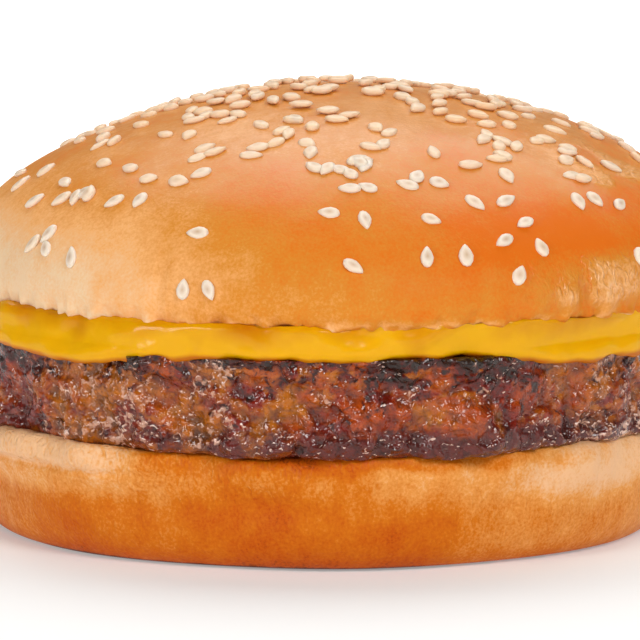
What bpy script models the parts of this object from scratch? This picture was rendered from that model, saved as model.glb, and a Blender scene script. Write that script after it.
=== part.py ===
"""Cheeseburger: a toasted sesame bun's heel and crown, with a beef patty and a melted slice of cheese.

The burger stands on the origin, +Z up, and its front faces -Y. Each layer is one solid: a turned profile,
made uneven by functions of the angle round the burger. Layers that lie on each other keep GAP between them.
"""

import math

import bmesh
import bpy
from mathutils import Vector, noise

MM = 0.001

# Driving dimensions.
GAP = 0.3 * MM
BURGER_HEIGHT = 58.5 * MM

HEEL_RADIUS = 46.8 * MM
HEEL_HEIGHT = 15.0 * MM
HEEL_FOOT_RADIUS = 42.2 * MM
HEEL_WIDEST_HEIGHT = 7.6 * MM
HEEL_RIM_INSET = 1.3 * MM

PATTY_RADIUS = 49.4 * MM
PATTY_THICKNESS = 13.1 * MM
PATTY_SHOULDER = 3.0 * MM

CHEESE_THICKNESS = 3.0 * MM
CHEESE_BULGE = 0.8 * MM
CHEESE_EDGE = 2.8 * MM
CHEESE_LIP = 1.5 * MM
CHEESE_BEND = 38.0
CHEESE_CORNERS = 4
CORNER_BEND = 0.6
CORNER_THINNING = 0.35

CROWN_RADIUS = 51.3 * MM
CROWN_WIDEST_HEIGHT = 3.5 * MM
CROWN_RIM_INSET = 1.9 * MM
CROWN_ROUNDNESS = 1.85

# How uneven each layer is, as (how far it strays, how far apart its bulges lie).
HEEL_OUTLINE = (0.7 * MM, 26.0 * MM)
HEEL_DENTS = (0.5 * MM, 10.0 * MM)
PATTY_OUTLINE = (0.7 * MM, 22.0 * MM)
PATTY_LUMPS = (1.1 * MM, 8.0 * MM)
PATTY_CRUMBS = (0.55 * MM, 4.0 * MM)
CORNER_SPACING = 14.0 * MM
CROWN_OUTLINE = (0.5 * MM, 30.0 * MM)
CROWN_SWELL = (0.3 * MM, 19.0 * MM)
CROWN_RIM_LIFT = (0.7 * MM, 9.0 * MM)

# How far each layer sits from the burger's middle, to the right and to the back.
HEEL_SHIFT = (-0.8 * MM, 0.2 * MM)
PATTY_SHIFT = (0.0, -0.3 * MM)
CROWN_SHIFT = (2.0 * MM, 0.0)

# Heights that follow from them.
PATTY_FLOOR = HEEL_HEIGHT + GAP
PATTY_TOP = PATTY_FLOOR + PATTY_THICKNESS
CHEESE_FLOOR = PATTY_TOP + GAP
CHEESE_TOP = CHEESE_FLOOR + CHEESE_THICKNESS
CROWN_FLOOR = CHEESE_TOP + GAP
CROWN_WIDEST = CROWN_FLOOR + CROWN_WIDEST_HEIGHT
SHOULDER_CENTRE = (PATTY_RADIUS - PATTY_SHOULDER, PATTY_TOP - PATTY_SHOULDER)

BUN_STEPS = 72
FILLING_STEPS = 96
ARC_POINTS = 4


# Profiles, as (radius, height) from the top of the axis down the outer side.

def arc(centre, radii, start, end, points=ARC_POINTS):
    """Points on an ellipse's arc, from the angle start to the angle end, in degrees above the horizontal."""
    steps = [math.radians(start + (end - start) * i / points) for i in range(points + 1)]
    return [(centre[0] + radii[0] * math.cos(a), centre[1] + radii[1] * math.sin(a)) for a in steps]


def dome(radius, low, high, roundness, points=12):
    """A superellipse's quarter, from the top of the axis down to its widest ring."""
    found = []
    for i in range(points + 1):
        turn = math.radians(90 * (1 - i / points))
        across = abs(math.cos(turn)) ** (2 / roundness)
        up = abs(math.sin(turn)) ** (2 / roundness)
        found.append((radius * across, low + (high - low) * up))
    return [(0, high)] + found[1:]


def crown_profile():
    """The dome, which curls in under its widest ring to a soft rim, and the flat cut face."""
    top = dome(CROWN_RADIUS, CROWN_WIDEST, BURGER_HEIGHT, CROWN_ROUNDNESS)
    rim = CROWN_RADIUS - CROWN_RIM_INSET
    under = arc((rim, CROWN_WIDEST), (CROWN_RIM_INSET, CROWN_WIDEST_HEIGHT), 0, -75)
    return top + under[1:] + [(CROWN_RADIUS - 4 * CROWN_RIM_INSET, CROWN_FLOOR), (0, CROWN_FLOOR)]


def heel_profile():
    """The flat cut face, a crust that leans out to its widest ring, and a round lower edge on a flat foot."""
    rim = HEEL_RADIUS - HEEL_RIM_INSET
    cut = [(0, HEEL_HEIGHT), (rim - 2 * HEEL_RIM_INSET, HEEL_HEIGHT)]
    lean = arc((HEEL_RADIUS - 2 * HEEL_RIM_INSET, HEEL_WIDEST_HEIGHT),
               (2 * HEEL_RIM_INSET, HEEL_HEIGHT - HEEL_WIDEST_HEIGHT), 75, 0)
    foot = arc((HEEL_FOOT_RADIUS, HEEL_WIDEST_HEIGHT),
               (HEEL_RADIUS - HEEL_FOOT_RADIUS, HEEL_WIDEST_HEIGHT), 0, -90, 5)
    return cut + lean + foot[1:] + [(0, 0)]


def patty_profile():
    """A disc with round shoulders and a side that bulges a little at half its height."""
    inner = PATTY_RADIUS - PATTY_SHOULDER
    top = arc((inner, PATTY_TOP - PATTY_SHOULDER), (PATTY_SHOULDER,) * 2, 90, 0)
    low = arc((inner, PATTY_FLOOR + PATTY_SHOULDER), (PATTY_SHOULDER,) * 2, 0, -90)
    steps = 3
    side = [(PATTY_RADIUS, top[-1][1] + (low[0][1] - top[-1][1]) * i / steps) for i in range(1, steps)]
    return [(0, PATTY_TOP)] + top + side + low + [(0, PATTY_FLOOR)]


def cheese_profile():
    """A slice that lies on the patty, with a round edge that bends CHEESE_BEND degrees over its shoulder."""
    clear = PATTY_SHOULDER + GAP
    widest = PATTY_RADIUS + CHEESE_BULGE
    middle = CHEESE_FLOOR + 0.4 * CHEESE_THICKNESS
    under = arc(SHOULDER_CENTRE, (clear, clear), 90 - CHEESE_BEND, 90)
    edge = arc((widest - CHEESE_EDGE, middle), (CHEESE_EDGE, CHEESE_TOP - middle), 90, 0)
    lip = arc((widest - CHEESE_LIP, middle), (CHEESE_LIP, middle - under[0][1]), 0, -80, 3)
    return [(0, CHEESE_TOP)] + edge + lip[1:] + under + [(0, CHEESE_FLOOR)]


# Unevenness, as functions of the angle round the burger, counted from the front towards the right.

def bumps(unevenness, angle, height, radius):
    """How far smooth bumps stand out at a place on a ring, with their size and spacing from unevenness."""
    size, spacing = unevenness
    place = Vector((radius * math.sin(angle), -radius * math.cos(angle), height)) / spacing
    return 2 * size * noise.noise(place + Vector((spacing / MM, 0, 0)))


def ease(value, low, high):
    """0 below low and 1 above high, with a smooth step between them."""
    share = min(1.0, max(0.0, (value - low) / (high - low)))
    return share * share * (3 - 2 * share)


def patty_outline(radius, angle):
    """How far the patty's edge, and the cheese on it, stands out from a true circle."""
    return bumps(PATTY_OUTLINE, angle, 0, PATTY_RADIUS) * radius / PATTY_RADIUS


def uneven_crown(radius, angle, height):
    """A dome that swells a little here and there, with the rim lifted off the cheese in places."""
    share = radius / CROWN_RADIUS
    near_cut = 1 - ease(height, CROWN_FLOOR, CROWN_WIDEST)
    on_rim = ease(radius, CROWN_RADIUS - 4 * CROWN_RIM_INSET, CROWN_RADIUS - CROWN_RIM_INSET)
    outline = bumps(CROWN_OUTLINE, angle, 0, CROWN_RADIUS) * share
    swell = bumps(CROWN_SWELL, angle, height, radius) * (1 - near_cut) * share
    lift = abs(bumps(CROWN_RIM_LIFT, angle, 0, CROWN_RADIUS)) * on_rim * near_cut
    return radius + outline, height + swell + lift


def uneven_heel(radius, angle, height):
    """A crust with shallow dents, which fade out towards the flat foot."""
    outline = bumps(HEEL_OUTLINE, angle, 0, HEEL_RADIUS)
    dent = bumps(HEEL_DENTS, angle, height, HEEL_RADIUS) * ease(height, 0, HEEL_WIDEST_HEIGHT)
    return radius + (outline + dent) * radius / HEEL_RADIUS, height


def uneven_patty(radius, angle, height):
    """Lumps of minced beef on the side, which fade out where the cheese lies."""
    lump = bumps(PATTY_LUMPS, angle, height, radius) + bumps(PATTY_CRUMBS, angle, height, radius)
    bare = 1 - ease(height, PATTY_TOP - 1.5 * PATTY_SHOULDER, PATTY_TOP - 0.95 * PATTY_SHOULDER)
    on_side = ease(radius, PATTY_RADIUS - 2 * PATTY_SHOULDER, PATTY_RADIUS - PATTY_SHOULDER / 2)
    return radius + patty_outline(radius, angle) + lump * bare * on_side, height


def uneven_cheese(radius, angle, height):
    """The slice's corners bend further down over the patty's shoulder than its sides, and are thinner."""
    corner = (0.5 - 0.5 * math.cos(CHEESE_CORNERS * angle)) ** 2
    corner = max(0.0, corner + bumps((0.2, CORNER_SPACING), angle, 0, PATTY_RADIUS))
    outwards, upwards = radius - SHOULDER_CENTRE[0], height - SHOULDER_CENTRE[1]
    if outwards > 0:
        lean = math.atan2(outwards, upwards)
        clear = PATTY_SHOULDER + GAP
        thinned = 1 - CORNER_THINNING * corner * min(1.0, lean / math.radians(CHEESE_BEND))
        reach = clear + (math.hypot(outwards, upwards) - clear) * thinned
        lean *= 1 + CORNER_BEND * corner
        radius = SHOULDER_CENTRE[0] + reach * math.sin(lean)
        height = SHOULDER_CENTRE[1] + reach * math.cos(lean)
    return radius + patty_outline(radius, angle), height


# Building.

def clear_scene():
    for thing in list(bpy.data.objects):
        bpy.data.objects.remove(thing)


def food_material(name, colour, roughness):
    material = bpy.data.materials.new(name)
    material.use_nodes = True
    shader = material.node_tree.nodes["Principled BSDF"]
    shader.inputs["Base Color"].default_value = (*colour, 1)
    shader.inputs["Roughness"].default_value = roughness
    shader.inputs["Metallic"].default_value = 0
    return material


def turned(name, profile, steps):
    """The profile turned about the Z axis into one closed mesh."""
    outline = bpy.data.meshes.new(name + "_profile")
    outline.from_pydata([(radius, 0, height) for radius, height in profile],
                        [(i, i + 1) for i in range(len(profile) - 1)], [])
    lathe = bpy.data.objects.new(name + "_lathe", outline)
    bpy.context.scene.collection.objects.link(lathe)
    screw = lathe.modifiers.new("Turn", "SCREW")
    screw.steps = steps
    screw.render_steps = steps
    screw.use_merge_vertices = True
    screw.merge_threshold = 0.00001
    mesh = bpy.data.meshes.new_from_object(lathe.evaluated_get(bpy.context.evaluated_depsgraph_get()))
    mesh.name = name
    bpy.data.objects.remove(lathe)
    return mesh


def reshape(mesh, uneven):
    """Moves each point to the radius and height that uneven gives for it."""
    for vertex in mesh.vertices:
        x, y, height = vertex.co
        radius = math.hypot(x, y)
        angle = math.atan2(x, -y)
        new_radius, new_height = uneven(radius, angle, height)
        if radius > GAP:
            vertex.co = (new_radius * math.sin(angle), -new_radius * math.cos(angle), new_height)
        else:
            vertex.co = (0, 0, new_height)


def tidy(mesh):
    """Merges the seam and the poles that the lathe leaves, and turns all faces outwards."""
    shape = bmesh.new()
    shape.from_mesh(mesh)
    bmesh.ops.remove_doubles(shape, verts=shape.verts, dist=GAP / 100)
    bmesh.ops.recalc_face_normals(shape, faces=shape.faces)
    shape.to_mesh(mesh)
    shape.free()
    mesh.shade_smooth()


def add_layer(name, profile, uneven, steps, shift, material):
    mesh = turned(name, profile, steps)
    reshape(mesh, uneven)
    tidy(mesh)
    mesh.materials.clear()
    mesh.materials.append(material)
    layer = bpy.data.objects.new(name, mesh)
    layer.location = (shift[0], shift[1], 0)
    bpy.data.collections["Cheeseburger"].objects.link(layer)
    return layer


def stand_on_origin(layers):
    """Moves all the layers together, so that the middle of the burger's footprint is the origin."""
    bpy.context.view_layer.update()
    points = [layer.matrix_world @ vertex.co for layer in layers for vertex in layer.data.vertices]
    middle = [(min(p[axis] for p in points) + max(p[axis] for p in points)) / 2 for axis in (0, 1)]
    for layer in layers:
        layer.location.x -= middle[0]
        layer.location.y -= middle[1]


def build():
    clear_scene()
    bpy.context.scene.collection.children.link(bpy.data.collections.new("Cheeseburger"))
    crust = food_material("bun_crust", (0.66, 0.29, 0.07), 0.45)
    beef = food_material("grilled_beef", (0.14, 0.04, 0.015), 0.4)
    cheese = food_material("melted_cheese", (0.9, 0.47, 0.02), 0.3)
    layers = [
        add_layer("bun_heel", heel_profile(), uneven_heel, BUN_STEPS, HEEL_SHIFT, crust),
        add_layer("patty", patty_profile(), uneven_patty, FILLING_STEPS, PATTY_SHIFT, beef),
        add_layer("cheese_slice", cheese_profile(), uneven_cheese, FILLING_STEPS, PATTY_SHIFT, cheese),
        add_layer("bun_crown", crown_profile(), uneven_crown, BUN_STEPS, CROWN_SHIFT, crust),
    ]
    stand_on_origin(layers)


build()
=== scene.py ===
"""Looks of a cheeseburger: crust, seeds, melted cheese, grilled beef and a small studio, on its CAD frame.

The file is laid out as a Blender add-on: each layer has its settings, its operator and a row in the sidebar.
Run as a script, it makes the whole burger. +Z is up, the front faces -Y, and angles round the burger are
counted from the front towards +X.
"""

import math
import random

import bpy
import numpy as np
from mathutils import Matrix, Vector, noise
from mathutils.bvhtree import BVHTree


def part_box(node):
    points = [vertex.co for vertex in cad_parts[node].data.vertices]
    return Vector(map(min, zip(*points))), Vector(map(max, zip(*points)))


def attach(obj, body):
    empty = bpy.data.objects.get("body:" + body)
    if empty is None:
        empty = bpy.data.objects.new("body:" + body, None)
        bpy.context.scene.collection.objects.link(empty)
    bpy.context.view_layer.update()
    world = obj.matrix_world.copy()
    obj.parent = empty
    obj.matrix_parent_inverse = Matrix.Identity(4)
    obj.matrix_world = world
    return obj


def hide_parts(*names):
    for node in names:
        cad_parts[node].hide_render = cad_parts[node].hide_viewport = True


bl_info = {
    "name": "Cheeseburger",
    "version": (1, 0, 0),
    "blender": (4, 5, 0),
    "location": "3D View > Sidebar > Cheeseburger",
    "description": "Dresses a cheeseburger with crust, seeds, melted cheese and grilled beef",
    "category": "Add Mesh",
}

MM = 0.001

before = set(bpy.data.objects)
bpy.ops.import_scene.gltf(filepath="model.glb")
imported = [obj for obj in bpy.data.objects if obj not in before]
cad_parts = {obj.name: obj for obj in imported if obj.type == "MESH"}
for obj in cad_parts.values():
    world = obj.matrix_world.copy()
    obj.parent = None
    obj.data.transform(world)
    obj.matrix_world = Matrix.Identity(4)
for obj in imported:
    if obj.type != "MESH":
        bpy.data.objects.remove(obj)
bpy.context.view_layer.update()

# Each layer's CAD box, as its lowest and highest corners.
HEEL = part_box("bun_heel")
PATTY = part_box("patty")
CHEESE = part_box("cheese_slice")
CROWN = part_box("bun_crown")
PATTY_TOP = PATTY[1].z
PATTY_REACH = (PATTY[1].y - PATTY[0].y) / 2
CHEESE_TOP = CHEESE[1].z
RIM_HEIGHT = CROWN[0].z
CROWN_REACH = (CROWN[1].x - CROWN[0].x) / 2

# How far the crust's upright streaks are drawn out along X, Y and Z.
UPRIGHT = (1, 1, 5)


def linear(hex_colour):
    """An sRGB hex value as a linear colour with alpha."""
    parts = [int(hex_colour[i:i + 2], 16) / 255 for i in (1, 3, 5)]
    return tuple(c / 12.92 if c <= 0.04045 else ((c + 0.055) / 1.055) ** 2.4 for c in parts) + (1.0,)


# Settings.

def length(name, description, millimetres):
    return bpy.props.FloatProperty(name=name, description=description, default=millimetres * MM,
                                   unit="LENGTH", subtype="DISTANCE", precision=5)


def share(name, description, default):
    return bpy.props.FloatProperty(name=name, description=description, default=default,
                                   min=0, max=1, subtype="FACTOR")


def colour(name, description, hex_colour):
    return bpy.props.FloatVectorProperty(name=name, description=description, size=4,
                                         default=linear(hex_colour), min=0, max=1, subtype="COLOR")


class CrownSettings(bpy.types.PropertyGroup):
    pale: colour("Pale crust", "Least baked crust, low on the side", "#ecc9a0")
    light: colour("Light crust", "Lightly baked crust", "#ecaa68")
    golden: colour("Golden crust", "Evenly baked crust", "#d4862c")
    deep: colour("Deep crust", "Most baked crust, on the shoulder and the top", "#db6a0c")
    dents: length("Dents", "Depth of the broad dents in the dome", 0.5)
    rim_crumbs: length("Rim crumbs", "How far the cut rim's crumbs stand in and out", 0.5)
    puckers: length("Puckers", "Depth of the upright wrinkles near the rim", 0.22)
    wrinkles: length("Wrinkles", "Depth of the fine wrinkles in the crust's skin", 0.35)
    mottle: share("Mottling", "How much the crust's browning varies from grain to grain", 0.09)
    wash: share("Egg wash", "How glossy the crust is where it was brushed with egg", 0.5)


class SeedSettings(bpy.types.PropertyGroup):
    long: length("Length", "Length of a whole sesame seed", 3.0)
    wide: length("Width", "Width of a whole sesame seed", 1.95)
    thick: length("Thickness", "Thickness of a whole sesame seed", 1.0)
    apart: length("Spacing", "Least distance between the middles of scattered seeds", 2.1)
    count: bpy.props.IntProperty(name="Count", description="Seeds laid on the dome", default=310, min=1)
    hull: colour("Seed", "Hulled sesame seed", "#e9d8c4")
    middle: colour("Middle", "The thin middle of a seed, where the crust shows through", "#c9a988")
    toasted: colour("Toasted seed", "Seed browned in the oven", "#f0cba2")


class CheeseSettings(bpy.types.PropertyGroup):
    body: colour("Cheese", "Melted processed cheese", "#e4a600")
    # This colour is the juice stain on the thin lower edge, and also painted shade under the crown's rim.
    thin: colour("Thin edge", "Where the cheese is thin and the beef's juice stains it", "#bc6600")
    sag: length("Sag", "How far the lower edge sags between the beef's lumps", 0.6)
    waves: length("Waves", "Height of the soft waves in the melted band", 1.1)
    squeeze: length("Squeeze", "How far the crown may squeeze the cheese out under its rim", 3.4)


class PattySettings(bpy.types.PropertyGroup):
    brown: colour("Browned beef", "Main colour of the grilled side", "#b4630c")
    red: colour("Red beef", "Red-brown beef under its juice", "#7c1804")
    juice: colour("Juice", "Orange pools of fat and juice", "#ac4408")
    # Partly real pale fat, partly painted highlight: the specks also stand in for glints on the juice.
    fat_and_glints: colour("Fat", "Pale bits of fat and gristle", "#dba88e")
    # Painted glints: pale specks laid on the lumps' upper slopes, where the lights would glint on the juice.
    painted_glint: colour("Flecks", "White fat caught on the upper slopes of the lumps", "#ecc9b8")
    # Painted shade: darkness laid into the hollows and the cracks between morsels, where shade falls.
    hollow_shade: colour("Hollows", "Deep between the lumps", "#240802")
    seared: colour("Seared beef", "Dark red crust round the char", "#480f06")
    foot: colour("Foot", "Purple-brown crust along the bottom", "#62241e")
    char: colour("Char", "Burnt crust on the ledges", "#22160f")
    chunks: length("Chunks", "Relief of the coarse lumps", 2.2)
    mince: length("Mince", "Relief of the minced strands", 0.8)
    crumbs: length("Crumbs", "Relief of the fine crumbs", 0.7)
    ledge: length("Ledge", "How far the charred lumps under the cheese stand out", 1.5)
    slump: length("Slump", "How far the lower edge sinks onto the heel", 0.7)


class HeelSettings(bpy.types.PropertyGroup):
    cut: colour("Cut band", "Pale, floury crust just under the cut", "#efbc8c")
    light: colour("Light crust", "Lightly baked crust, high on the side", "#e79c4e")
    golden: colour("Golden crust", "Evenly baked crust", "#d27210")
    deep: colour("Deep crust", "Most baked crust, low on the side and where juice soaks in", "#c25406")
    # This dark foot is partly browned crust and partly painted contact shadow.
    foot: colour("Foot", "Dark line where the crust lay on the tin", "#6a3210")
    wrinkles: length("Wrinkles", "Depth of the upright wrinkles in the crust", 0.3)
    grain: length("Grain", "Relief of the fine grain of the crust", 0.1)
    flare: length("Flare", "How far the patty's weight presses the top edge outwards", 2.6)
    raised: length("Raised edge", "How far the top edge rises round the patty's foot", 1.0)
    band: length("Band", "How far the squeezed band under the cut stands out", 0.4)
    crease: length("Crease", "Depth of the crease under that band", 0.7)
    mottle: share("Mottling", "How much the crust's browning varies from grain to grain", 0.11)


class StageSettings(bpy.types.PropertyGroup):
    distance: length("Camera distance", "From the burger's axis to the camera, along Y", 900)
    height: length("Camera height", "Height of the camera above the floor", 148)
    aim_height: length("Aim height", "Height of the point that the camera looks at", 26.8)
    aim_side: length("Aim to the side", "How far that point lies to the right of the axis", -2.5)
    view_width: length("View width", "Width of the view at the burger's axis", 85.8)
    floor: colour("Floor", "Pale studio floor", "#dedddb")


class CheeseburgerSettings(bpy.types.PropertyGroup):
    crown: bpy.props.PointerProperty(type=CrownSettings)
    seeds: bpy.props.PointerProperty(type=SeedSettings)
    cheese: bpy.props.PointerProperty(type=CheeseSettings)
    patty: bpy.props.PointerProperty(type=PattySettings)
    heel: bpy.props.PointerProperty(type=HeelSettings)
    stage: bpy.props.PointerProperty(type=StageSettings)


# Modelling.

def select_only(piece):
    bpy.ops.object.select_all(action="DESELECT")
    bpy.context.view_layer.objects.active = piece
    piece.select_set(True)


def fine_copy(node, name):
    """A copy of a CAD layer: its loose triangles merged, paired into quads and smoothed by subdivision."""
    select_only(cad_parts[node])
    bpy.ops.object.duplicate()
    piece = bpy.context.view_layer.objects.active
    piece.name = name
    piece.data.name = name
    piece.parent = None
    for key in list(piece.keys()):
        del piece[key]
    bpy.ops.object.mode_set(mode="EDIT")
    bpy.ops.mesh.select_all(action="SELECT")
    bpy.ops.mesh.customdata_custom_splitnormals_clear()
    bpy.ops.mesh.remove_doubles(threshold=0.01 * MM)
    bpy.ops.mesh.tris_convert_to_quads()
    bpy.ops.object.mode_set(mode="OBJECT")
    smooth = piece.modifiers.new("Smooth", "SUBSURF")
    smooth.levels = 3
    bpy.ops.object.modifier_apply(modifier=smooth.name)
    bpy.ops.object.shade_smooth()
    return piece


def points_of(piece, what="co"):
    """Where the piece's points are, or their normals, as an array with one row each."""
    flat = np.empty(len(piece.data.vertices) * 3, np.float32)
    piece.data.vertices.foreach_get(what, flat)
    return flat.reshape(-1, 3).astype(float)


def set_points(piece, points):
    piece.data.vertices.foreach_set("co", points.astype(np.float32).ravel())
    piece.data.update()


def set_attributes(piece, **attributes):
    """Keeps named numbers for each point, for a material to read."""
    for name, values in attributes.items():
        attribute = piece.data.attributes.new(name, "FLOAT", "POINT")
        attribute.data.foreach_set("value", values.astype(np.float32))


def ease(values, low, high):
    """0 below low and 1 above high, with a smooth step between them."""
    part = np.clip((values - low) / (high - low), 0, 1)
    return part * part * (3 - 2 * part)


def bump(values, middle, width):
    """1 at middle, falling smoothly to 0 at width either side."""
    return 1 - ease(np.abs(values - middle), 0, width)


def lumps(points, spacing, seed, stretch=(1, 1, 1)):
    """Smooth noise from about -1 to 1 with lumps spacing apart, drawn out along an axis by stretch."""
    places = points / (spacing * np.array(stretch)) + seed
    return np.array([noise.noise(Vector(place)) for place in places]) * 2


def mottling(points, patches):
    """Smooth patches of several sizes together, each (strength, spacing in mm, seed)."""
    return sum(strength * lumps(points, spacing * MM, seed) for strength, spacing, seed in patches)


def around(points, layer):
    """Each point's angle in degrees round a layer's own axis, and its distance from that axis."""
    low, high = layer
    x = points[:, 0] - (low.x + high.x) / 2
    y = points[:, 1] - (low.y + high.y) / 2
    return np.degrees(np.arctan2(x, -y)), np.hypot(x, y)


def rise_of(points, layer):
    """Each point's height as a share of its layer's: 0 at the bottom and 1 at the top."""
    low, high = layer
    return (points[:, 2] - low.z) / (high.z - low.z)


def side_of(radii, layer, start, full):
    """1 on a layer's side and 0 on its flat faces: it begins and is full at these shares of its reach."""
    low, high = layer
    reach = (high.x - low.x) / 2
    return ease(radii, start * reach, full * reach)


def near(angles, middle, reach):
    """1 at an angle round the layer, falling to 0 at its reach either side. All are in degrees."""
    away = np.abs((angles - middle + 180) % 360 - 180)
    return bump(away, 0, reach)


def largest_round(angles, values):
    """The largest value in each 3 degree sector, blended from one sector to the next."""
    sectors = np.linspace(-180, 180, 121)
    largest = np.full(len(sectors), values.min())
    np.maximum.at(largest, np.round((angles + 180) / 3).astype(int), values)
    return np.interp(angles, sectors, largest)


def proudness(piece, rounds):
    """How far each point stands out from its surroundings: more rounds of averaging reach further."""
    mesh = piece.data
    points = points_of(piece)
    total = len(points)
    ends = np.empty(len(mesh.edges) * 2, np.int32)
    mesh.edges.foreach_get("vertices", ends)
    ends = ends.reshape(-1, 2)
    starts, others = ends.T.ravel(), ends[:, ::-1].T.ravel()
    neighbours = np.bincount(starts, minlength=total)
    smooth = points.copy()
    for _ in range(rounds):
        sums = [np.bincount(starts, smooth[others, axis], total) for axis in range(3)]
        smooth = np.column_stack(sums) / neighbours[:, None]
    return ((points - smooth) * points_of(piece, "normal")).sum(axis=1)


def push_out(piece, layer, distances):
    """Moves points straight away from a layer's axis, each by its own distance."""
    low, high = layer
    points = points_of(piece)
    outwards = points - np.array([(low.x + high.x) / 2, (low.y + high.y) / 2, 0])
    outwards[:, 2] = 0
    outwards /= np.maximum(np.linalg.norm(outwards, axis=1, keepdims=True), MM)
    set_points(piece, points + outwards * distances[:, None])


def set_weights(piece, name, weights):
    """A vertex group that says where a modifier works."""
    group = piece.vertex_groups.new(name=name)
    for index, weight in enumerate(weights):
        if weight > 0.01:
            group.add([index], float(weight), "REPLACE")
    return group.name


def displace(piece, name, height, spacing, group="", kind="CLOUDS", stretch=1.0, **settings):
    """Moves the surface in and out by a noise texture, drawn out upwards by stretch."""
    texture = bpy.data.textures.new(name, kind)
    texture.noise_scale = spacing
    for key, value in settings.items():
        setattr(texture, key, value)
    modifier = piece.modifiers.new(name, "DISPLACE")
    modifier.texture = texture
    modifier.strength = height
    modifier.vertex_group = group
    guide = None
    if stretch != 1.0:
        guide = bpy.data.objects.new(name + "_guide", None)
        bpy.context.scene.collection.objects.link(guide)
        guide.scale = (1, 1, stretch)
        modifier.texture_coords = "OBJECT"
        modifier.texture_coords_object = guide
        bpy.context.view_layer.update()
    select_only(piece)
    bpy.ops.object.modifier_apply(modifier=modifier.name)
    if guide:
        bpy.data.objects.remove(guide)
    bpy.data.textures.remove(texture)


def finish_piece(piece, node, material):
    """Gives a piece its material, and makes it stand for its CAD layer."""
    piece.data.materials.clear()
    piece.data.materials.append(material)
    piece.vertex_groups.clear()
    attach(piece, "root")
    if node:
        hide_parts(node)


# Materials.

# The range that most of a noise texture's values lie in.
MIDDLING = {"From Min": 0.3, "From Max": 0.7}


def feed(tree, node, inputs):
    """Gives a node's inputs their values, or links from a socket or from another node's first output."""
    for socket, source in inputs.items():
        if isinstance(source, bpy.types.Node):
            source = source.outputs[0]
        if isinstance(source, bpy.types.NodeSocket):
            tree.links.new(source, node.inputs[socket])
        else:
            node.inputs[socket].default_value = source


def add_node(tree, kind, inputs=None, **settings):
    """Adds a node with its settings and its inputs."""
    node = tree.nodes.new("ShaderNode" + kind)
    for name, value in settings.items():
        setattr(node, name, value)
    feed(tree, node, inputs or {})
    return node


def new_material(name, *attributes):
    """An empty material: its tree, its shader, each point's place in metres, and the named attributes."""
    material = bpy.data.materials.new(name)
    material.use_nodes = True
    tree = material.node_tree
    place = add_node(tree, "TexCoord").outputs["Object"]
    read = [add_node(tree, "Attribute", attribute_name=attribute).outputs["Fac"] for attribute in attributes]
    return material, tree, tree.nodes["Principled BSDF"], place, *read


def mask_of(tree, first, more, low, high, most=1.0):
    """Rises from 0 to most while first, plus each of more by its weight, goes from low to high."""
    for pattern, weight in more:
        first = add_node(tree, "Math", {0: pattern, 1: weight, 2: first}, operation="MULTIPLY_ADD")
    return add_node(tree, "MapRange", {"Value": first, "From Min": low, "From Max": high, "To Max": most})


def paint(tree, under, over, mask):
    """One colour over another where the mask says; 6, 7 and 2 are a Mix node's colour sockets."""
    return add_node(tree, "Mix", {0: mask, 6: under, 7: over}, data_type="RGBA").outputs[2]


def colour_ramp(tree, shade, stops):
    """Colours for a shade from 0 to 1, each stop a place and a linear colour."""
    ramp = add_node(tree, "ValToRGB", {"Fac": shade})
    elements = ramp.color_ramp.elements
    elements.remove(elements[-1])
    for index, (place, value) in enumerate(stops):
        element = elements[0] if index == 0 else elements.new(place)
        element.position = place
        element.color = value
    return ramp


def crust_material(name, colours, settings, wrinkle_size, streaks):
    """Baked bread crust: browned in soft patches, finely pitted, satin where it was brushed with egg.

    An attribute that a crust doesn't have reads as 0: the heel has no egg wash and no level wrinkles.
    """
    material, tree, shader, place, *read = new_material(name, "browning", "puckers", "ripples", "washed")
    shade, upright, level, washed = read
    freckles, grain = (
        add_node(tree, "TexNoise", {"Vector": place, "Scale": 1 / size, "Detail": detail, "Roughness": 0.6})
        for size, detail in ((2.0 * MM, 5), (0.4 * MM, 3)))
    # How far each pattern shifts the browning either way.
    for pattern, most in ((freckles, 0.06), (grain, -settings.mottle)):
        change = add_node(tree, "MapRange", {"Value": pattern, "To Min": -most, "To Max": most, **MIDDLING})
        shade = add_node(tree, "Math", {0: shade, 1: change}, operation="ADD")
    rough = add_node(tree, "MapRange", {"Value": freckles, "To Min": 0.42, "To Max": 0.6, **MIDDLING})
    pits = add_node(tree, "Bump", {"Height": grain, "Strength": 0.35, "Distance": 0.12 * MM})
    normal = add_node(tree, "Bump", {"Height": freckles, "Normal": pits, "Strength": 0.35,
                                     "Distance": 0.25 * MM})
    # Wrinkles are upright or level, as their spacing along X, Y and Z says, and their crests are paler: on
    # the heel as the crust's own streaks, on the crown as painted highlight.
    for mask, spacings in ((upright, (1, 1, 1.8)), (level, (2.2, 2.2, 0.7))):
        scales = tuple(1 / (spacing * wrinkle_size) for spacing in spacings)
        stretched = add_node(tree, "Mapping", {"Vector": place, "Scale": scales})
        folds = add_node(tree, "TexNoise", {"Vector": stretched, "Scale": 1, "Detail": 1, "Roughness": 0.4,
                                            "Distortion": 1.3})
        height = add_node(tree, "Math", {0: folds, 1: mask}, operation="MULTIPLY")
        shade = add_node(tree, "Math", {0: height, 1: -streaks, 2: shade}, operation="MULTIPLY_ADD")
        normal = add_node(tree, "Bump", {"Height": height, "Normal": normal, "Distance": settings.wrinkles})
    wrinkled = add_node(tree, "Math", {0: upright, 1: level}, operation="MAXIMUM")
    feed(tree, shader, {
        "Base Color": colour_ramp(tree, shade, colours),
        "Roughness": add_node(tree, "Math", {0: wrinkled, 1: -0.18, 2: rough}, operation="MULTIPLY_ADD"),
        "Specular IOR Level": 0.1,
        "Normal": normal,
        "Subsurface Weight": 0.06,
        "Subsurface Radius": (1.0, 0.45, 0.2),
        "Subsurface Scale": 1.2 * MM,
        "Coat Weight": washed,
        "Coat Roughness": 0.22,
        "Coat Normal": normal,
    })
    return material


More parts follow.
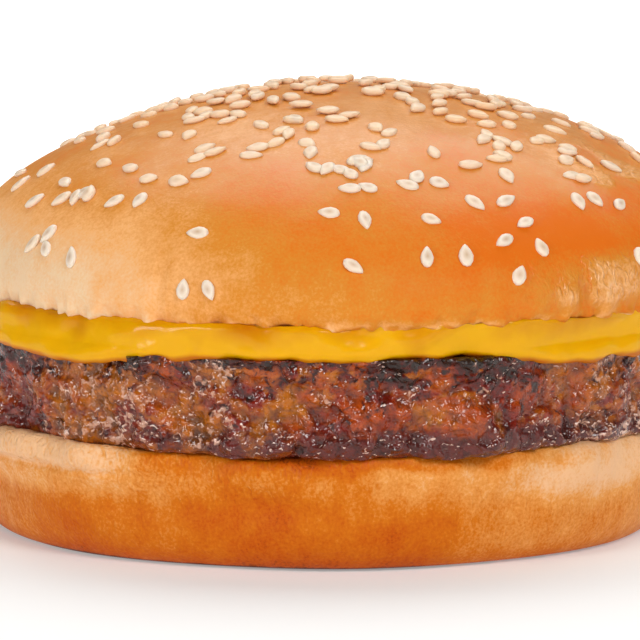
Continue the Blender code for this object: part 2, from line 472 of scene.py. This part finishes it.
def cheese_material(settings):
    """Melted processed cheese: an oily, smooth surface over a body that light soaks into."""
    material, tree, shader, place, thinness = new_material("Melted processed cheese", "thinness")
    cloud = add_node(tree, "TexNoise", {"Vector": place, "Scale": 1 / (5 * MM), "Detail": 3})
    stain = add_node(tree, "MapRange", {"Value": cloud, "To Min": -0.15, "To Max": 0.15, **MIDDLING})
    shade = add_node(tree, "Math", {0: thinness, 1: stain}, operation="ADD")
    ripple = add_node(tree, "Bump", {"Height": cloud, "Strength": 0.4, "Distance": 0.5 * MM})
    feed(tree, shader, {
        "Base Color": colour_ramp(tree, shade, ((0.15, settings.body), (1.0, settings.thin))),
        "Roughness": 0.34,
        "Specular IOR Level": 0.0,
        "Normal": ripple,
        "Subsurface Weight": 0.25,
        "Subsurface Radius": (1.0, 0.5, 0.08),
        "Subsurface Scale": 1.6 * MM,
        "Coat Weight": 0.4,
        "Coat Roughness": 0.2,
        "Coat Normal": ripple,
    })
    return material


def beef_material(settings):
    """Grilled minced beef: morsels of browned meat and fat pressed together, charred and wet with juice,
    with painted glints on the lumps' upper slopes and painted shade in the hollows.
    """
    names = ("char", "foot", "proud", "grains")
    material, tree, shader, place, char, foot, proud, grains = new_material("Grilled minced beef", *names)
    higher = add_node(tree, "VectorMath", {0: place, 1: (0, 0, 0.25 * MM)}, operation="ADD")
    # Patterns, each with its features' size in mm and its detail. Grit is read again a little higher up, so
    # that the painted glints fall on the upper slopes.
    warp = {"Roughness": 0.6, "Distortion": 0.6}
    patches, pools, clusters, bits, grit, fibre, film, grit_above = (
        add_node(tree, "TexNoise", {"Vector": spot, "Scale": 1 / (size * MM), "Detail": detail, **warp})
        for spot, size, detail in ((place, 6.5, 3), (place, 5.0, 2), (place, 3.4, 1), (place, 1.4, 3),
                                   (place, 0.8, 1), (place, 0.5, 1), (place, 1.7, 1), (higher, 0.8, 1)))
    # Morsels about 1.3 mm across, their outlines pulled out of shape by about as much.
    pull = (1.4 * MM, 1.4 * MM, 1.4 * MM)
    swirl = add_node(tree, "TexNoise", {"Vector": place, "Scale": 1 / (1.6 * MM), "Detail": 2})
    pulled = add_node(tree, "VectorMath", {0: swirl.outputs["Color"], 1: pull, 2: place},
                      operation="MULTIPLY_ADD")
    morsels = add_node(tree, "TexVoronoi", {"Vector": pulled, "Scale": 1 / (1.3 * MM)})
    sort = add_node(tree, "SeparateColor", {0: morsels.outputs["Color"]})
    dry = add_node(tree, "Math", {0: 1.0, 1: grains}, operation="SUBTRACT")
    juicy = mask_of(tree, pools, (), 0.47, 0.6)
    # Painted shade: where the beef is less proud than its surroundings, and in the cracks between morsels.
    sunk = mask_of(tree, proud, (), 0.5, 0.1, 0.65)
    crack_shade = mask_of(tree, morsels, (), 0.5, 0.85, 0.5)
    glint_slope = add_node(tree, "Math", {0: grit, 1: grit_above}, operation="SUBTRACT")
    ragged = add_node(tree, "Math", {0: patches, 1: bits}, operation="ADD")
    ragged = add_node(tree, "Math", {0: ragged, 1: 1.3, 2: -1.3}, operation="MULTIPLY_ADD")
    # Colours laid over the brown, each with where it shows.
    layers = (
        (settings.red, mask_of(tree, patches, ((sort, 0.1), (grains, -0.14)), 0.41, 0.55)),
        (settings.juice, add_node(tree, "Math", {0: juicy, 1: dry}, operation="MULTIPLY")),
        (settings.foot, mask_of(tree, foot, ((ragged, 1.0),), 0.2, 0.8)),
        (settings.hollow_shade, add_node(tree, "Math", {0: sunk, 1: crack_shade}, operation="MAXIMUM")),
        (settings.seared, mask_of(tree, char, ((ragged, 1.5),), 0.2, 0.5)),
        # Pale specks of fat, partly painted highlight standing in for glints on the juice.
        (settings.fat_and_glints, mask_of(tree, grit, ((grains, 0.3), (clusters, 0.55)), 1.06, 1.2, 0.75)),
        (settings.char, mask_of(tree, char, ((ragged, 1.5), (bits, 1.0)), 1.0, 1.4, 0.92)),
        # Painted glints: pale specks where the grit slopes upwards, standing in for the juice's glints.
        (settings.painted_glint, mask_of(tree, glint_slope, ((grains, 0.08), (foot, 0.06), (clusters, 0.42)),
                                 0.45, 0.52, 0.85)),
    )
    meat = settings.brown
    for over, mask in layers:
        meat = paint(tree, meat, over, mask)
    fine = add_node(tree, "Bump", {"Height": fibre, "Strength": 0.6, "Distance": 0.2 * MM})
    coarse = add_node(tree, "Bump", {"Height": bits, "Normal": fine, "Strength": 0.9, "Distance": 0.7 * MM})
    packed = add_node(tree, "Bump", {"Height": morsels, "Normal": coarse, "Strength": 0.8,
                                     "Distance": 0.4 * MM}, invert=True)
    # The juice follows the morsels and stands in drops, so it glints in many small places.
    drops = add_node(tree, "Bump", {"Height": film, "Distance": 0.8 * MM})
    feed(tree, shader, {
        "Base Color": meat,
        "Roughness": 0.45,
        "Specular IOR Level": 0.05,
        "Normal": packed,
        "Subsurface Weight": 0.06,
        "Subsurface Radius": (1.0, 0.3, 0.15),
        "Subsurface Scale": 0.8 * MM,
        "Coat Weight": 1.0,
        "Coat Roughness": 0.1,
        "Coat Normal": add_node(tree, "Bump", {"Height": grit, "Normal": drops, "Distance": 0.22 * MM}),
    })
    return material


def seed_material(settings):
    """Hulled sesame seed: smooth, creamy and a little see-through, browned where the oven's heat reached."""
    material, tree, shader, place, toast, middle = new_material("Hulled sesame seed", "toast", "middle")
    thin = paint(tree, settings.hull, settings.middle, middle)
    skin = add_node(tree, "TexNoise", {"Vector": place, "Scale": 1 / (0.5 * MM), "Detail": 2})
    feed(tree, shader, {
        "Base Color": paint(tree, thin, settings.toasted, toast),
        "Roughness": 0.42,
        "Normal": add_node(tree, "Bump", {"Height": skin, "Strength": 0.3, "Distance": 0.1 * MM}),
        "Subsurface Weight": 0.2,
        "Subsurface Radius": (1.0, 0.7, 0.4),
        "Subsurface Scale": 0.5 * MM,
    })
    return material


def floor_material(settings):
    """Matt white studio board, brighter the farther it is from the burger, so that it looks plain white."""
    material, tree, shader, place = new_material("Matt studio board")
    away = add_node(tree, "VectorMath", {0: place}, operation="LENGTH").outputs["Value"]
    feed(tree, shader, {
        "Base Color": settings.floor,
        "Roughness": 0.9,
        "Specular IOR Level": 0.1,
        "Emission Color": (1, 1, 1, 1),
        "Emission Strength": add_node(tree, "MapRange", {"Value": away, "From Min": 0.1, "From Max": 0.9,
                                                         "To Min": 0.28, "To Max": 0.95}),
    })
    return material


# Operators.

# Where the patty's top ledge is charred and stands out under the cheese: (angle, reach) in degrees.
CHARRED = ((-51, 6), (-31, 7), (-12, 8), (11, 6), (22, 6), (42, 8), (70, 8), (93, 12), (125, 7),
           (152, 10), (180, 8), (-150, 9), (-122, 12), (-94, 7), (-73, 8))


def nearest_of(angles, places):
    """1 in the middle of each (angle, reach) place, falling to 0 at its reach."""
    return np.max([near(angles, angle, reach) for angle, reach in places], axis=0)


class CHEESEBURGER_OT_crown(bpy.types.Operator):
    """Make the bun's crown: an egg-washed dome with a crumbly cut rim"""
    bl_idname = "cheeseburger.crown"
    bl_label = "Bun crown"

    # Short upright folds in the side: (angle in degrees, top in mm above the rim, depth in mm), and how far
    # each one reaches to either side, in degrees.
    creases = ((-28, 13, 0.35), (37, 7, 0.9), (118, 8, 0.6), (-140, 9, 0.5))
    crease_reach = 1.5

    def execute(self, context):
        settings = context.scene.cheeseburger.crown
        piece = fine_copy("bun_crown", "crown_crust")
        points = points_of(piece)
        angles, radii = around(points, CROWN)
        height = points[:, 2] - RIM_HEIGHT
        side = side_of(radii, CROWN, 0.8, 0.93)
        rim = side * (1 - ease(height, 0.6 * MM, 3.5 * MM))
        low = side * (1 - ease(height, 3 * MM, 12 * MM))
        upper = set_weights(piece, "dome", ease(height, 0.5 * MM, 4 * MM))
        displace(piece, "dents", settings.dents, 14 * MM, upper, noise_depth=1)
        lower = set_weights(piece, "low", low)
        displace(piece, "puckers", settings.puckers, 2.4 * MM, lower, stretch=5.0, noise_depth=1)
        ring = points * np.array((1, 1, 0.5))
        crumbs = mottling(ring, ((1.0, 1.7, 21.0), (0.6, 0.9, 22.0)))
        push_out(piece, CROWN, settings.rim_crumbs * rim * crumbs)
        points = points_of(piece)
        points[:, 2] -= settings.rim_crumbs * rim * (0.9 + 0.5 * lumps(ring, 2.2 * MM, 23.0))
        set_points(piece, points)
        folds = np.zeros(len(points))
        for angle, top, depth in self.creases:
            below = 1 - ease(height / MM, 0.5 * top, top)
            folds -= near(angles, angle, self.crease_reach) * below * depth * MM
        push_out(piece, CROWN, folds)
        self.brown(piece, settings.wash)
        stops = ((0.0, settings.pale), (0.38, settings.light), (0.68, settings.golden), (1.0, settings.deep))
        # The crests' paleness here is painted highlight, standing in for the egg wash's gloss on the
        # wrinkles.
        material = crust_material("Egg-washed bun crust", stops, settings,
                                  wrinkle_size=0.9 * MM, streaks=0.6)
        finish_piece(piece, "bun_crown", material)
        return {"FINISHED"}

    # How baked the crust is, from 0 (pale) to 1 (deep), and its patches: (strength, spacing in mm, seed).
    baked = 0.76
    patches = ((0.06, 15, 3.0), (0.04, 5, 9.0))

    # Patches of wrinkled skin: angle and reach in degrees, rise and reach in shares of the height, strength,
    # and how much of the strength is kept where the patch is ragged.
    upright_wrinkles = ((40, 18, 0.19, 0.17, 2.0, 0.35), (175, 30, 0.28, 0.2, 1.0, 0.0))
    level_wrinkles = ((61, 22, 0.63, 0.24, 1.2, 0.0), (-130, 30, 0.6, 0.25, 1.0, 0.0))

    def brown(self, piece, wash):
        """How baked each place is, where its skin is wrinkled and where it was brushed with egg, with some
        painted light.
        """
        points = points_of(piece)
        angles, _ = around(points, CROWN)
        rise = rise_of(points, CROWN)
        # The low left side is paler: partly less baked crust, partly painted light falling on that side.
        left = np.maximum(near(angles, -70, 75), 0.7 * near(angles, 160, 60))
        pale = left * (1 - ease(rise, 0.15, 0.65)) + 0.2 * left * (1 - ease(rise, 0.5, 0.95))
        shoulder = near(angles, 38, 65) * ease(rise, 0.06, 0.4) * (1 - 0.85 * ease(rise, 0.45, 0.7))
        streaks = lumps(points, 2.6 * MM, 5.0, UPRIGHT) * (1 - ease(rise, 0.15, 0.45))
        rim_crumbs = (1 - ease(rise, 0.0, 0.08)) * ease(lumps(points, 1.8 * MM, 8.0), -0.2, 0.6)
        underside = ease(-points_of(piece, "normal")[:, 2], 0.93, 0.99)
        # Painted sheen: the top is made paler, standing in for the top softbox's sheen on it.
        top = ease(rise, 0.6, 0.9)
        browning = self.baked + 0.24 * shoulder - 0.68 * pale - 0.12 * top - 0.36 * rim_crumbs - underside
        browning += 0.07 * streaks + mottling(points, self.patches)
        ragged = ease(lumps(points, 6 * MM, 14.0), -0.5, 0.3)
        puckers, ripples = (self.wrinkled(angles, rise, ragged, patches)
                            for patches in (self.upright_wrinkles, self.level_wrinkles))
        washed = ease(rise + 0.08 * lumps(points, 9 * MM, 6.0), 0.45, 0.85) * (1 - 0.4 * left)
        set_attributes(piece, browning=browning, puckers=puckers, ripples=ripples,
                       washed=wash * np.maximum(washed, 1.6 * puckers))

    def wrinkled(self, angles, rise, ragged, patches):
        """1 where the skin is wrinkled and 0 where it is smooth."""
        total = 0
        for angle, reach, up, reach_up, strength, kept in patches:
            patch = near(angles, angle, reach) * bump(rise, up, reach_up)
            total += strength * patch * (kept + (1 - kept) * ragged)
        return np.clip(total, 0, 1)


class CHEESEBURGER_OT_seeds(bpy.types.Operator):
    """Lay sesame seeds on the crown, thick on the top and in clusters lower down"""
    bl_idname = "cheeseburger.seeds"
    bl_label = "Sesame seeds"

    # Places are (angle round, angle up) in degrees. A lone seed adds the way its point turns from the right.
    lone = (
        (-24, 22, 185), (-20, 9, 295), (-24, 9, 90), (-43, 28, 230), (-38, 29, 265), (-40, 35, 20),
        (-33, 35, 5), (-30, 38, 230), (-22, 45, 5), (-45, 14, 115), (1, 15, 325), (12, 17, 85),
        (18, 17, 85), (14, 26, 335), (23, 30, 300), (29, 30, 20), (33, 37, 265), (25, 20, 205),
        (30, 24, 200), (31, 18, 100), (26, 12, 60), (3, 26, 280), (-3, 28, 170), (14, 38, 60),
        (18, 36, 330), (27, 41, 350), (43, 28, 260), (47, 28, 285), (52, 26, 20), (49, 13, 280),
    )
    # A cluster adds how many seeds it has and how far they spread, in degrees.
    clusters = (
        (-52, 15, 3, 2.5), (-54, 28, 4, 2.5), (-53, 36, 2, 2.5), (-61, 31, 1, 0), (-34, 44, 3, 3),
        (-3, 43, 4, 4), (-1, 38, 2, 3), (6, 35, 3, 3), (5, 42, 2, 2), (35, 43, 2, 2), (47, 34, 2, 2),
        (53, 38, 4, 3.5), (66, 30, 3, 5), (52, 47, 1, 0), (-72, 27, 3, 4),
    )

    def execute(self, context):
        settings = context.scene.cheeseburger.seeds
        crown = bpy.data.objects.get("crown_crust")
        if crown is None:
            raise RuntimeError("The crown comes before its seeds")
        surface = BVHTree.FromObject(crown, context.evaluated_depsgraph_get())
        model = self.one_seed(settings)
        dice = random.Random(12)
        copies, toasts = [], []
        for place in self.places(settings, dice):
            matrix, toast = self.lay(surface, place, settings, dice)
            mesh = model.data.copy()
            mesh.transform(matrix)
            copies.append(bpy.data.objects.new("seed", mesh))
            context.scene.collection.objects.link(copies[-1])
            toasts += [toast] * len(mesh.vertices)
        bpy.data.objects.remove(model)
        select_only(copies[0])
        for copy in copies:
            copy.select_set(True)
        bpy.ops.object.join()
        seeds = copies[0]
        seeds.name = "sesame_seeds"
        seeds.data.name = "sesame_seeds"
        bpy.ops.object.shade_smooth()
        set_attributes(seeds, toast=np.array(toasts))
        finish_piece(seeds, None, seed_material(settings))
        return {"FINISHED"}

    def one_seed(self, settings):
        """A flat drop, its point along +X, with a thin middle inside a raised rim."""
        bpy.ops.mesh.primitive_uv_sphere_add(segments=12, ring_count=5, radius=0.5)
        seed = bpy.context.view_layer.objects.active
        # Rings from the top pole to the bottom one: their radius and height, as shares of the seed's size.
        rings = np.array(((0, 0.36), (0.3, 0.42), (0.46, 0.2), (0.47, -0.15), (0.34, -0.45), (0, -0.45)))
        points = points_of(seed)
        from_top = np.arccos(np.clip(points[:, 2] / 0.5, -1, 1)) / math.pi
        flat, height = rings[np.round(from_top * (len(rings) - 1)).astype(int)].T
        turn = np.arctan2(points[:, 1], points[:, 0])
        along, across = flat * np.cos(turn), flat * np.sin(turn)
        point = np.clip(along * 2, 0, 1)
        across = across * (1 - 0.5 * point ** 1.6)
        along = along * (1 + 0.16 * point ** 3) - 0.04
        sizes = np.array((settings.long, settings.wide, settings.thick))
        set_points(seed, np.column_stack([along, across, height]) * sizes)
        set_attributes(seed, middle=np.where((flat == 0) & (height > 0), 1.0, 0.0))
        return seed

    # No seeds are scattered over the front, where each has its place: within and up to these, in degrees.
    front, front_top = 66, 46
    # How many places are tried, and how often a seed may lie on another.
    tries, overlapping = 60000, 0.12
    # The dome's height as a share of its reach.
    squat = 0.62

    def places(self, settings, dice):
        """Every seed's place, with its turn in degrees."""
        found = list(self.lone)
        for angle, up, count, spread in self.clusters:
            for _ in range(count):
                turned, raised = angle + dice.gauss(0, spread), up + 0.7 * dice.gauss(0, spread)
                found.append((turned, raised, dice.uniform(0, 360)))
        apart = math.degrees(settings.apart / CROWN_REACH)
        for _ in range(self.tries):
            if len(found) >= settings.count:
                break
            angle, up = dice.uniform(-180, 180), math.degrees(math.asin(dice.uniform(0.12, 1)))
            if abs(angle) < self.front and up < self.front_top:
                continue
            # They lie thick near the top and thin lower down.
            if dice.random() > 0.05 + 0.95 * float(ease(np.array(up), 26, 60)):
                continue
            flat = math.cos(math.radians(up))
            crowded = any(math.hypot((a - angle) * flat, u - up) < apart for a, u, _ in found)
            if crowded and dice.random() > self.overlapping:
                continue
            found.append((angle, up, dice.uniform(0, 360)))
        return found

    def lay(self, surface, place, settings, dice):
        """The matrix that lays a seed on the crust, a little sunk and tipped, and how toasted it is."""
        angle, up, turn = (math.radians(value) for value in place)
        centre = (CROWN[0] + CROWN[1]) / 2
        centre.z = RIM_HEIGHT
        flat = math.cos(up)
        direction = Vector((flat * math.sin(angle), -flat * math.cos(angle), self.squat * math.sin(up)))
        direction.normalize()
        spot, normal, _, _ = surface.ray_cast(centre + direction * 2 * CROWN_REACH, -direction)
        across = Vector((math.cos(angle), math.sin(angle), 0))
        upwards = normal.cross(across).normalized()
        across = upwards.cross(normal)
        lie = Matrix((across, upwards, normal)).transposed().to_4x4()
        spin = Matrix.Rotation(turn, 4, "Z")
        tip = Matrix.Rotation(math.radians(dice.gauss(0, 7)), 4, "X")
        sizes = (dice.uniform(0.88, 1.1), dice.uniform(0.88, 1.1), dice.uniform(0.8, 1.1), 1)
        # Near the top the seeds lie on one another, so they stand higher there.
        lift = settings.thick * (0.26 - dice.uniform(0.0, 0.24) + 0.3 * float(ease(np.array(up), 0.9, 1.2)))
        heat = math.degrees(up) + 20 * abs(math.sin(angle))
        toast = 0.7 * float(ease(np.array(heat), 38, 60)) + dice.gauss(0.05, 0.12)
        matrix = Matrix.Translation(spot + normal * lift) @ lie @ spin @ tip @ Matrix.Diagonal(sizes)
        return matrix, min(1.0, max(0.0, toast))


class CHEESEBURGER_OT_cheese(bpy.types.Operator):
    """Make the melted cheese: a glossy band that sags over the patty's edge"""
    bl_idname = "cheeseburger.cheese"
    bl_label = "Melted cheese"

    # How the lower edge sags: (strength, spacing in mm, seed).
    sags = ((0.35, 8, 2.0), (0.4, 2.8, 6.0))
    # Where the lower edge hangs less: (angle, reach) in degrees.
    short = (60, 40)
    # How far the upper edge runs up behind the crown's rim, and how far inside the rim it stays.
    overlap = 0.7 * MM
    inside_rim = 1.3 * MM

    def execute(self, context):
        settings = context.scene.cheeseburger.cheese
        piece = fine_copy("cheese_slice", "melted_cheese")
        points = points_of(piece)
        angles, radii = around(points, CHEESE)
        side = side_of(radii, CHEESE, 0.88, 0.97)
        lip = side * (1 - ease(points[:, 2], PATTY_TOP - 1.2 * MM, PATTY_TOP + 1.2 * MM))
        sag = mottling(points * np.array((1, 1, 0)), self.sags) + 0.1 * nearest_of(angles, CHARRED)
        hang = 0.1 * MM - 0.3 * MM * near(angles, *self.short)
        points[:, 2] += (settings.sag * sag + hang) * lip
        brim = side * ease(points[:, 2], CHEESE_TOP - 2.6 * MM, CHEESE_TOP - 1.5 * MM)
        points[:, 2] += brim * np.clip(RIM_HEIGHT + self.overlap - points[:, 2], 0, 2.0 * MM)
        set_points(piece, points)
        _, under_crown = around(points, CROWN)
        to_rim = CROWN_REACH - self.inside_rim - under_crown
        tucked = lip * np.clip(radii - PATTY_REACH - 0.6 * MM, 0, 1.2 * MM)
        push_out(piece, CHEESE, brim * np.clip(to_rim, 0, settings.squeeze) - tucked)
        group = set_weights(piece, "side", side)
        displace(piece, "waves", settings.waves, 6 * MM, group, stretch=0.6, noise_depth=1)
        displace(piece, "ripples", 0.25 * settings.waves, 2.5 * MM, group, noise_depth=1)
        lowest = -largest_round(angles, np.where(side > 0.5, -points[:, 2], -CHEESE_TOP))
        hem = side * (1 - ease(points[:, 2] - lowest, 0.2 * MM, 1.1 * MM))
        # The lower edge is stained by the beef's juice; the band under the crown's rim gets the same dark
        # colour as painted shade.
        set_attributes(piece, thinness=1.1 * hem + 0.5 * brim + 0.25 * lumps(points, 6 * MM, 4.0) * side)
        finish_piece(piece, "cheese_slice", cheese_material(settings))
        return {"FINISHED"}


class CHEESEBURGER_OT_patty(bpy.types.Operator):
    """Make the patty: coarse minced beef, charred along its ledges and wet with juice"""
    bl_idname = "cheeseburger.patty"
    bl_label = "Beef patty"

    # Where the side is more fat than juice: (angle, reach) in degrees.
    fatty = ((-37, 20), (-19, 9), (52, 26), (84, 14), (130, 26), (-170, 18), (-120, 24), (-75, 12))
    # Where the lower edge lies flat on the heel's raised edge and doesn't sink: (angle, reach) in degrees.
    propped = (-55, 45)

    def execute(self, context):
        settings = context.scene.cheeseburger.patty
        piece = fine_copy("patty", "beef_patty")
        points = points_of(piece)
        angles, radii = around(points, PATTY)
        rise = rise_of(points, PATTY)
        side = side_of(radii, PATTY, 0.86, 0.93)
        # The beef's relief is lower just under the cheese.
        open_side = side * (1 - 0.6 * ease(rise, 0.88, 0.97))
        charred = nearest_of(angles, CHARRED)
        grains = 0.15 + 0.65 * nearest_of(angles, self.fatty) + 0.3 * lumps(points, 4 * MM, 2.0)
        grains = np.clip(grains, 0, 1)
        ring = points * np.array((1, 1, 0.3))
        ledge = bump(rise, 0.92, 0.26) * side
        uneven = 0.8 + 0.5 * lumps(ring, 3.2 * MM, 7.0)
        nubs = bump(rise, 0.1, 0.2) * side * ease(lumps(ring, 2.6 * MM, 12.0), -0.1, 0.5)
        square = ease(rise, 0.75, 0.95) * side * np.clip(largest_round(angles, radii) - radii, 0, 2 * MM)
        proud = ledge * (0.4 + 0.8 * charred) * uneven + 0.5 * nubs - 0.3 * open_side
        push_out(piece, PATTY, 0.7 * square + settings.ledge * proud)
        fatty = open_side * grains * ease(rise, 0.05, 0.2)
        self.roughen(piece, settings, open_side * ease(rise, 0.02, 0.16), fatty)
        points = points_of(piece)
        _, radii = around(points, PATTY)
        points[:, 2] = np.minimum(points[:, 2] + 0.4 * MM * ledge, PATTY_TOP)
        edge = (1 - ease(rise, 0.02, 0.2)) * side_of(radii, PATTY, 0.88, 0.96)
        sunk = edge * (0.65 + 0.35 * lumps(ring, 2.2 * MM, 31.0)) * (1 - near(angles, *self.propped))
        points[:, 2] -= settings.slump * sunk
        set_points(piece, points)
        set_attributes(piece, grains=grains)
        self.mark(piece, angles, rise, charred)
        finish_piece(piece, "patty", beef_material(settings))
        return {"FINISHED"}

    def roughen(self, piece, settings, side, fatty):
        """Coarse lumps, minced strands and, where it is fatty, fine crumbs."""
        group = set_weights(piece, "side", side)
        displace(piece, "chunks", settings.chunks, 5.0 * MM, group, noise_depth=1)
        displace(piece, "mince", -settings.mince, 2.0 * MM, group, kind="VORONOI", noise_intensity=1.2)
        hard = {"noise_type": "HARD_NOISE", "noise_depth": 1}
        displace(piece, "strands", 0.7 * settings.mince, 2.2 * MM, group, **hard)
        displace(piece, "crumbs", settings.crumbs, 1.0 * MM, set_weights(piece, "fatty", fatty), **hard)

    def mark(self, piece, angles, rise, charred):
        """Where the beef is charred, where it is dark along its foot, and where it stands proud."""
        proud = proudness(piece, rounds=12) / (0.5 * MM)
        upper = ease(rise, 0.5, 0.85)
        char = bump(rise, 0.92, 0.11) * charred + (0.4 + 0.2 * proud) * upper
        to_right = 0.45 + 0.55 * ease(np.sin(np.radians(angles + 15)), -0.5, 0.4)
        set_attributes(piece, char=np.clip(char, 0, 1), foot=(1 - ease(rise, 0.1, 0.42)) * to_right,
                       proud=np.clip(0.5 + 0.5 * proud, 0, 1))


class CHEESEBURGER_OT_heel(bpy.types.Operator):
    """Make the bun's heel: a soft, fine-grained crust, browner towards its foot"""
    bl_idname = "cheeseburger.heel"
    bl_label = "Bun heel"

    def execute(self, context):
        settings = context.scene.cheeseburger.heel
        piece = fine_copy("bun_heel", "heel_crust")
        points = points_of(piece)
        angles, radii = around(points, HEEL)
        rise = rise_of(points, HEEL)
        side = side_of(radii, HEEL, 0.86, 0.93) * ease(rise, 0.02, 0.2)
        squeezed = np.maximum(near(angles, -60, 42), 0.8 * near(angles, 130, 50))
        band = ease(rise, 0.77, 0.84) * ease(squeezed, 0.05, 0.7)
        crease = bump(rise, 0.8, 0.05) * squeezed
        flare = settings.flare * ease(rise, 0.5, 0.92) * (0.85 + 0.35 * lumps(points, 7 * MM, 4.0))
        raised = settings.raised * (0.7 + 0.6 * near(angles, -55, 40))
        points[:, 2] += raised * ease(rise, 0.75, 1.0) * side_of(radii, HEEL, 0.88, 0.95)
        set_points(piece, points)
        pressed = flare + settings.band * band - settings.crease * crease
        push_out(piece, HEEL, side * pressed)
        group = set_weights(piece, "side", side)
        upper = set_weights(piece, "upper", side * ease(rise, 0.3, 0.7))
        displace(piece, "wrinkles", settings.wrinkles, 1.8 * MM, upper, stretch=4.0, noise_depth=1)
        displace(piece, "grain", settings.grain, 0.8 * MM, group, noise_depth=2)
        self.brown(piece, band)
        creased = 0.35 + 0.4 * near(angles, -15, 40) * ease(rise, 0.45, 0.8)
        set_attributes(piece, puckers=np.clip(band + creased * side, 0, 1))
        stops = ((0.0, settings.cut), (0.24, settings.light), (0.52, settings.golden), (0.8, settings.deep),
                 (1.0, settings.foot))
        material = crust_material("Baked bun crust", stops, settings, wrinkle_size=0.8 * MM, streaks=0.5)
        finish_piece(piece, "bun_heel", material)
        return {"FINISHED"}

    # How baked the crust is, from 0 (pale) to 1 (deep), and its patches: (strength, spacing in mm, seed).
    baked = 0.84
    patches = ((0.1, 12, 3.0), (0.07, 4, 8.0))

    def brown(self, piece, band):
        """How well baked each place is: pale near the cut, browner low down and where juice soaks in."""
        points = points_of(piece)
        angles, _ = around(points, HEEL)
        rise = rise_of(points, HEEL)
        lower = 1 - ease(rise, 0.4, 0.8)
        left, right = near(angles, -55, 50), near(angles, 56, 60)
        soaked = near(angles, 12, 50) + near(angles, -150, 40)
        soaked *= ease(rise + 0.05 * lumps(points, 5 * MM, 1.0), 0.82, 0.94)
        wrinkled = near(angles, -15, 40) * ease(rise, 0.45, 0.8)
        streaks = lumps(points, 2.2 * MM, 5.0, UPRIGHT) * ease(rise, 0.2, 0.6)
        browning = self.baked + 0.18 * near(angles, 3, 38) * lower - 0.16 * (1 - lower)
        browning -= 0.27 * right * (2 - lower) + 0.3 * left * ease(rise, 0.5, 0.66)
        browning += 0.4 * soaked + 0.16 * wrinkled + 0.08 * streaks + mottling(points, self.patches)
        # A dark line along the bottom: partly crust browned on the tin, partly painted contact shadow.
        tin_line_and_contact_shade = 1 - ease(rise, 0.0, 0.05)
        set_attributes(piece, browning=0.8 * browning * (1 - band) + 0.22 * band + 0.5 * tin_line_and_contact_shade)


class CHEESEBURGER_OT_stage(bpy.types.Operator):
    """Set up the pale floor, the soft lights and the camera"""
    bl_idname = "cheeseburger.stage"
    bl_label = "Studio"

    # Name, place, width, depth and power, in metres and watts. Each one points at the burger's middle.
    softboxes = (
        ("key_softbox", (0.5, -0.88, 0.65), 0.5, 0.34, 6.7),
        ("top_softbox", (0.08, 0.5, 0.95), 1.2, 1.0, 10.6),
        ("fill_softbox", (-0.78, -0.8, 0.35), 0.26, 0.42, 4.6),
    )
    middle = Vector((0, 0, 0.03))

    def execute(self, context):
        settings = context.scene.cheeseburger.stage
        bpy.ops.mesh.primitive_plane_add(size=8)
        floor = context.view_layer.objects.active
        floor.name = "studio_floor"
        floor.data.materials.append(floor_material(settings))
        for softbox in self.softboxes:
            self.add_light(*softbox)
        self.light_world(context)
        self.add_camera(context, settings)
        context.scene.view_settings.view_transform = "Standard"
        return {"FINISHED"}

    def add_light(self, name, place, width, depth, power):
        bpy.ops.object.light_add(type="AREA", location=place)
        light = bpy.context.view_layer.objects.active
        light.name = name
        light.data.name = name
        light.data.shape = "RECTANGLE"
        light.data.size = width
        light.data.size_y = depth
        light.data.energy = power
        aim = self.middle - light.location
        light.rotation_euler = aim.to_track_quat("-Z", "Y").to_euler()

    def light_world(self, context):
        """White walls all round, brighter low down than overhead."""
        world = bpy.data.worlds.new("Studio walls")
        context.scene.world = world
        world.use_nodes = True
        tree = world.node_tree
        place = add_node(tree, "TexCoord").outputs["Generated"]
        height = add_node(tree, "SeparateXYZ", {0: place}).outputs["Z"]
        fade = add_node(tree, "MapRange", {"Value": height, "From Min": 0.1, "From Max": 0.75,
                                           "To Min": 0.22, "To Max": 0.1})
        feed(tree, tree.nodes["Background"], {"Strength": fade, "Color": (1, 1, 1, 1)})

    def add_camera(self, context, settings):
        place = Vector((settings.aim_side, -settings.distance, settings.height))
        aim = Vector((settings.aim_side, 0, settings.aim_height)) - place
        bpy.ops.object.camera_add(location=place, rotation=aim.to_track_quat("-Z", "Y").to_euler())
        camera = context.view_layer.objects.active
        camera.name = "camera"
        camera.data.lens = camera.data.sensor_width * aim.length / settings.view_width
        camera.data.clip_start = 10 * MM
        context.scene.camera = camera


# Panel.

class CHEESEBURGER_PT_panel(bpy.types.Panel):
    """The burger's layers, in the order in which they are made"""
    bl_idname = "CHEESEBURGER_PT_panel"
    bl_label = "Cheeseburger"
    bl_space_type = "VIEW_3D"
    bl_region_type = "UI"
    bl_category = "Cheeseburger"

    def draw(self, context):
        for operator in OPERATORS:
            self.layout.operator(operator.bl_idname)


SETTINGS = (CrownSettings, SeedSettings, CheeseSettings, PattySettings, HeelSettings, StageSettings,
            CheeseburgerSettings)
OPERATORS = (CHEESEBURGER_OT_heel, CHEESEBURGER_OT_patty, CHEESEBURGER_OT_cheese, CHEESEBURGER_OT_crown,
             CHEESEBURGER_OT_seeds, CHEESEBURGER_OT_stage)
CLASSES = SETTINGS + OPERATORS + (CHEESEBURGER_PT_panel,)


def register():
    for kind in CLASSES:
        bpy.utils.register_class(kind)
    bpy.types.Scene.cheeseburger = bpy.props.PointerProperty(type=CheeseburgerSettings)


def unregister():
    del bpy.types.Scene.cheeseburger
    for kind in reversed(CLASSES):
        bpy.utils.unregister_class(kind)


def main():
    register()
    bpy.ops.cheeseburger.heel()
    bpy.ops.cheeseburger.patty()
    bpy.ops.cheeseburger.cheese()
    bpy.ops.cheeseburger.crown()
    bpy.ops.cheeseburger.seeds()
    bpy.ops.cheeseburger.stage()


if __name__ == "__main__":
    main()
